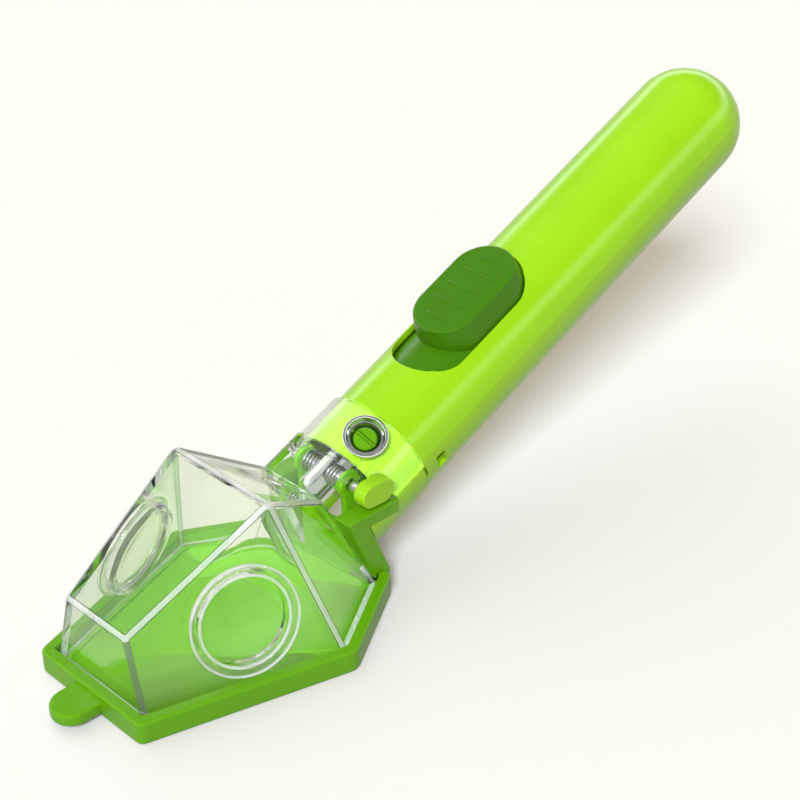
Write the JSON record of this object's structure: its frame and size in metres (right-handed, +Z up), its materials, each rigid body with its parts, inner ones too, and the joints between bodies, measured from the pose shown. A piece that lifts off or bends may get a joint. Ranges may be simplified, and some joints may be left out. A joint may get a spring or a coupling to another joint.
{
  "type": "bug catcher",
  "caption": "Hand-held bug catcher: clear faceted chamber with magnifying windows over a hinged green tray, opened by a thumb slide on a round grip.",
  "frame": {"origin": "on the surface the tray rests on, under the middle of the whole part's length", "axes": "+Z up; -Y towards the tray's finger tab; +Y along the grip; +X to the right when the grip is held and the tab points away"},
  "size_m": [0.0544, 0.1899, 0.0757],
  "materials": {
    "clear_plastic": "clear, polished",
    "lens_plastic": "clear, polished, domed",
    "green_plastic": "satin moulded",
    "lime_plastic": "gloss moulded",
    "deep_green_plastic": "satin moulded",
    "white_plastic": "matt moulded",
    "steel": "bright drawn",
    "chrome": "polished"
  },
  "bodies": {
    "handle": {"handle_upper_shell": "lime_plastic", "handle_lower_shell": "lime_plastic", "clear_cover": "clear_plastic", "yoke": "green_plastic", "lens_right": "lens_plastic", "lens_left": "lens_plastic", "lens_ring_right": "clear_plastic", "lens_ring_left": "clear_plastic", "torsion_spring_right": "steel", "torsion_spring_left": "steel", "hinge_pin": "steel", "cup_washer": "chrome", "cover_screw": "green_plastic", "handle_screw_1": "steel", "handle_screw_2": "steel"},
    "tray_door": {"tray": "green_plastic", "cam_pin": "steel"},
    "slider": {"thumb_button": "deep_green_plastic", "slider_carriage": "deep_green_plastic", "drive_rod": "white_plastic", "slide_screw": "steel"}
  },
  "joints": [
    {"name": "tray_hinge", "type": "hinge", "parent": "handle", "child": "tray_door", "pos_m": [0, -0.02727, 0.0233], "axis": [1, 0, 0], "range_deg": [0, 28], "stiffness_Nm_per_rad": 0.02, "springref_deg": -28.65, "deforming": ["torsion_spring_right", "torsion_spring_left"]},
    {"name": "slider_slide", "type": "slide", "parent": "handle", "child": "slider", "axis": [0, -0.9184, -0.3955], "range_m": [0, 0.0068]}
  ],
  "couplings": [
    {"joint": "slider_slide", "follows": "tray_hinge", "m_per_rad": 0.013914}
  ]
}
